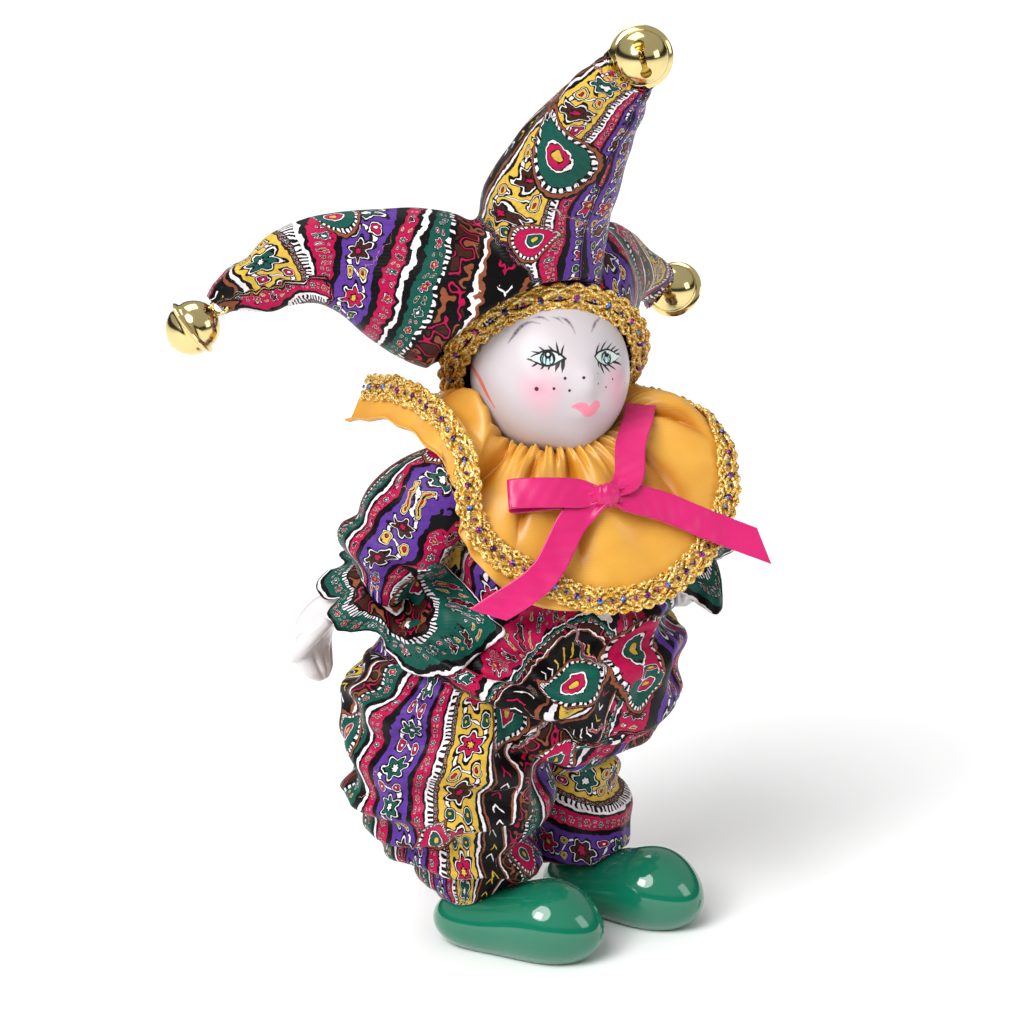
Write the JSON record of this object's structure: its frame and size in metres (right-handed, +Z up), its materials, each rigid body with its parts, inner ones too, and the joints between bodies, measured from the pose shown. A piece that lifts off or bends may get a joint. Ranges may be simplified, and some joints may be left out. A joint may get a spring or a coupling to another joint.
{
  "type": "porcelain clown doll",
  "caption": "Standing porcelain clown doll in a stuffed paisley print suit and horned jester hat with jingle bells, gold ruffled collar, pink bow and glazed boots.",
  "frame": {"origin": "on the ground under the middle of the whole doll, at the height of the boot soles", "axes": "+Z up; the doll faces -Y, and its own left is +X"},
  "size_m": [0.129, 0.0892, 0.1919],
  "materials": {
    "porcelain": "glazed white porcelain with painted face",
    "boot_glaze": "high gloss green glaze",
    "suit_print": "printed satin, paisley in crimson, purple, teal, yellow and black",
    "hat_print": "printed satin, paisley in crimson, purple, teal, yellow and black",
    "gold_braid": "metallic gold braid with coloured bead spots",
    "collar_satin": "golden yellow satin",
    "ribbon_satin": "magenta satin ribbon",
    "bell_metal": "polished pale gold plate"
  },
  "bodies": {
    "root": {"head": "porcelain", "right_hand": "porcelain", "left_hand": "porcelain", "right_boot": "boot_glaze", "left_boot": "boot_glaze", "suit": "suit_print", "hat": "hat_print", "hat_braid": "gold_braid", "collar": "collar_satin", "collar_braid": "gold_braid", "ribbon": "ribbon_satin", "bell_front": "bell_metal", "bell_right": "bell_metal", "bell_left": "bell_metal"}
  },
  "joints": []
}
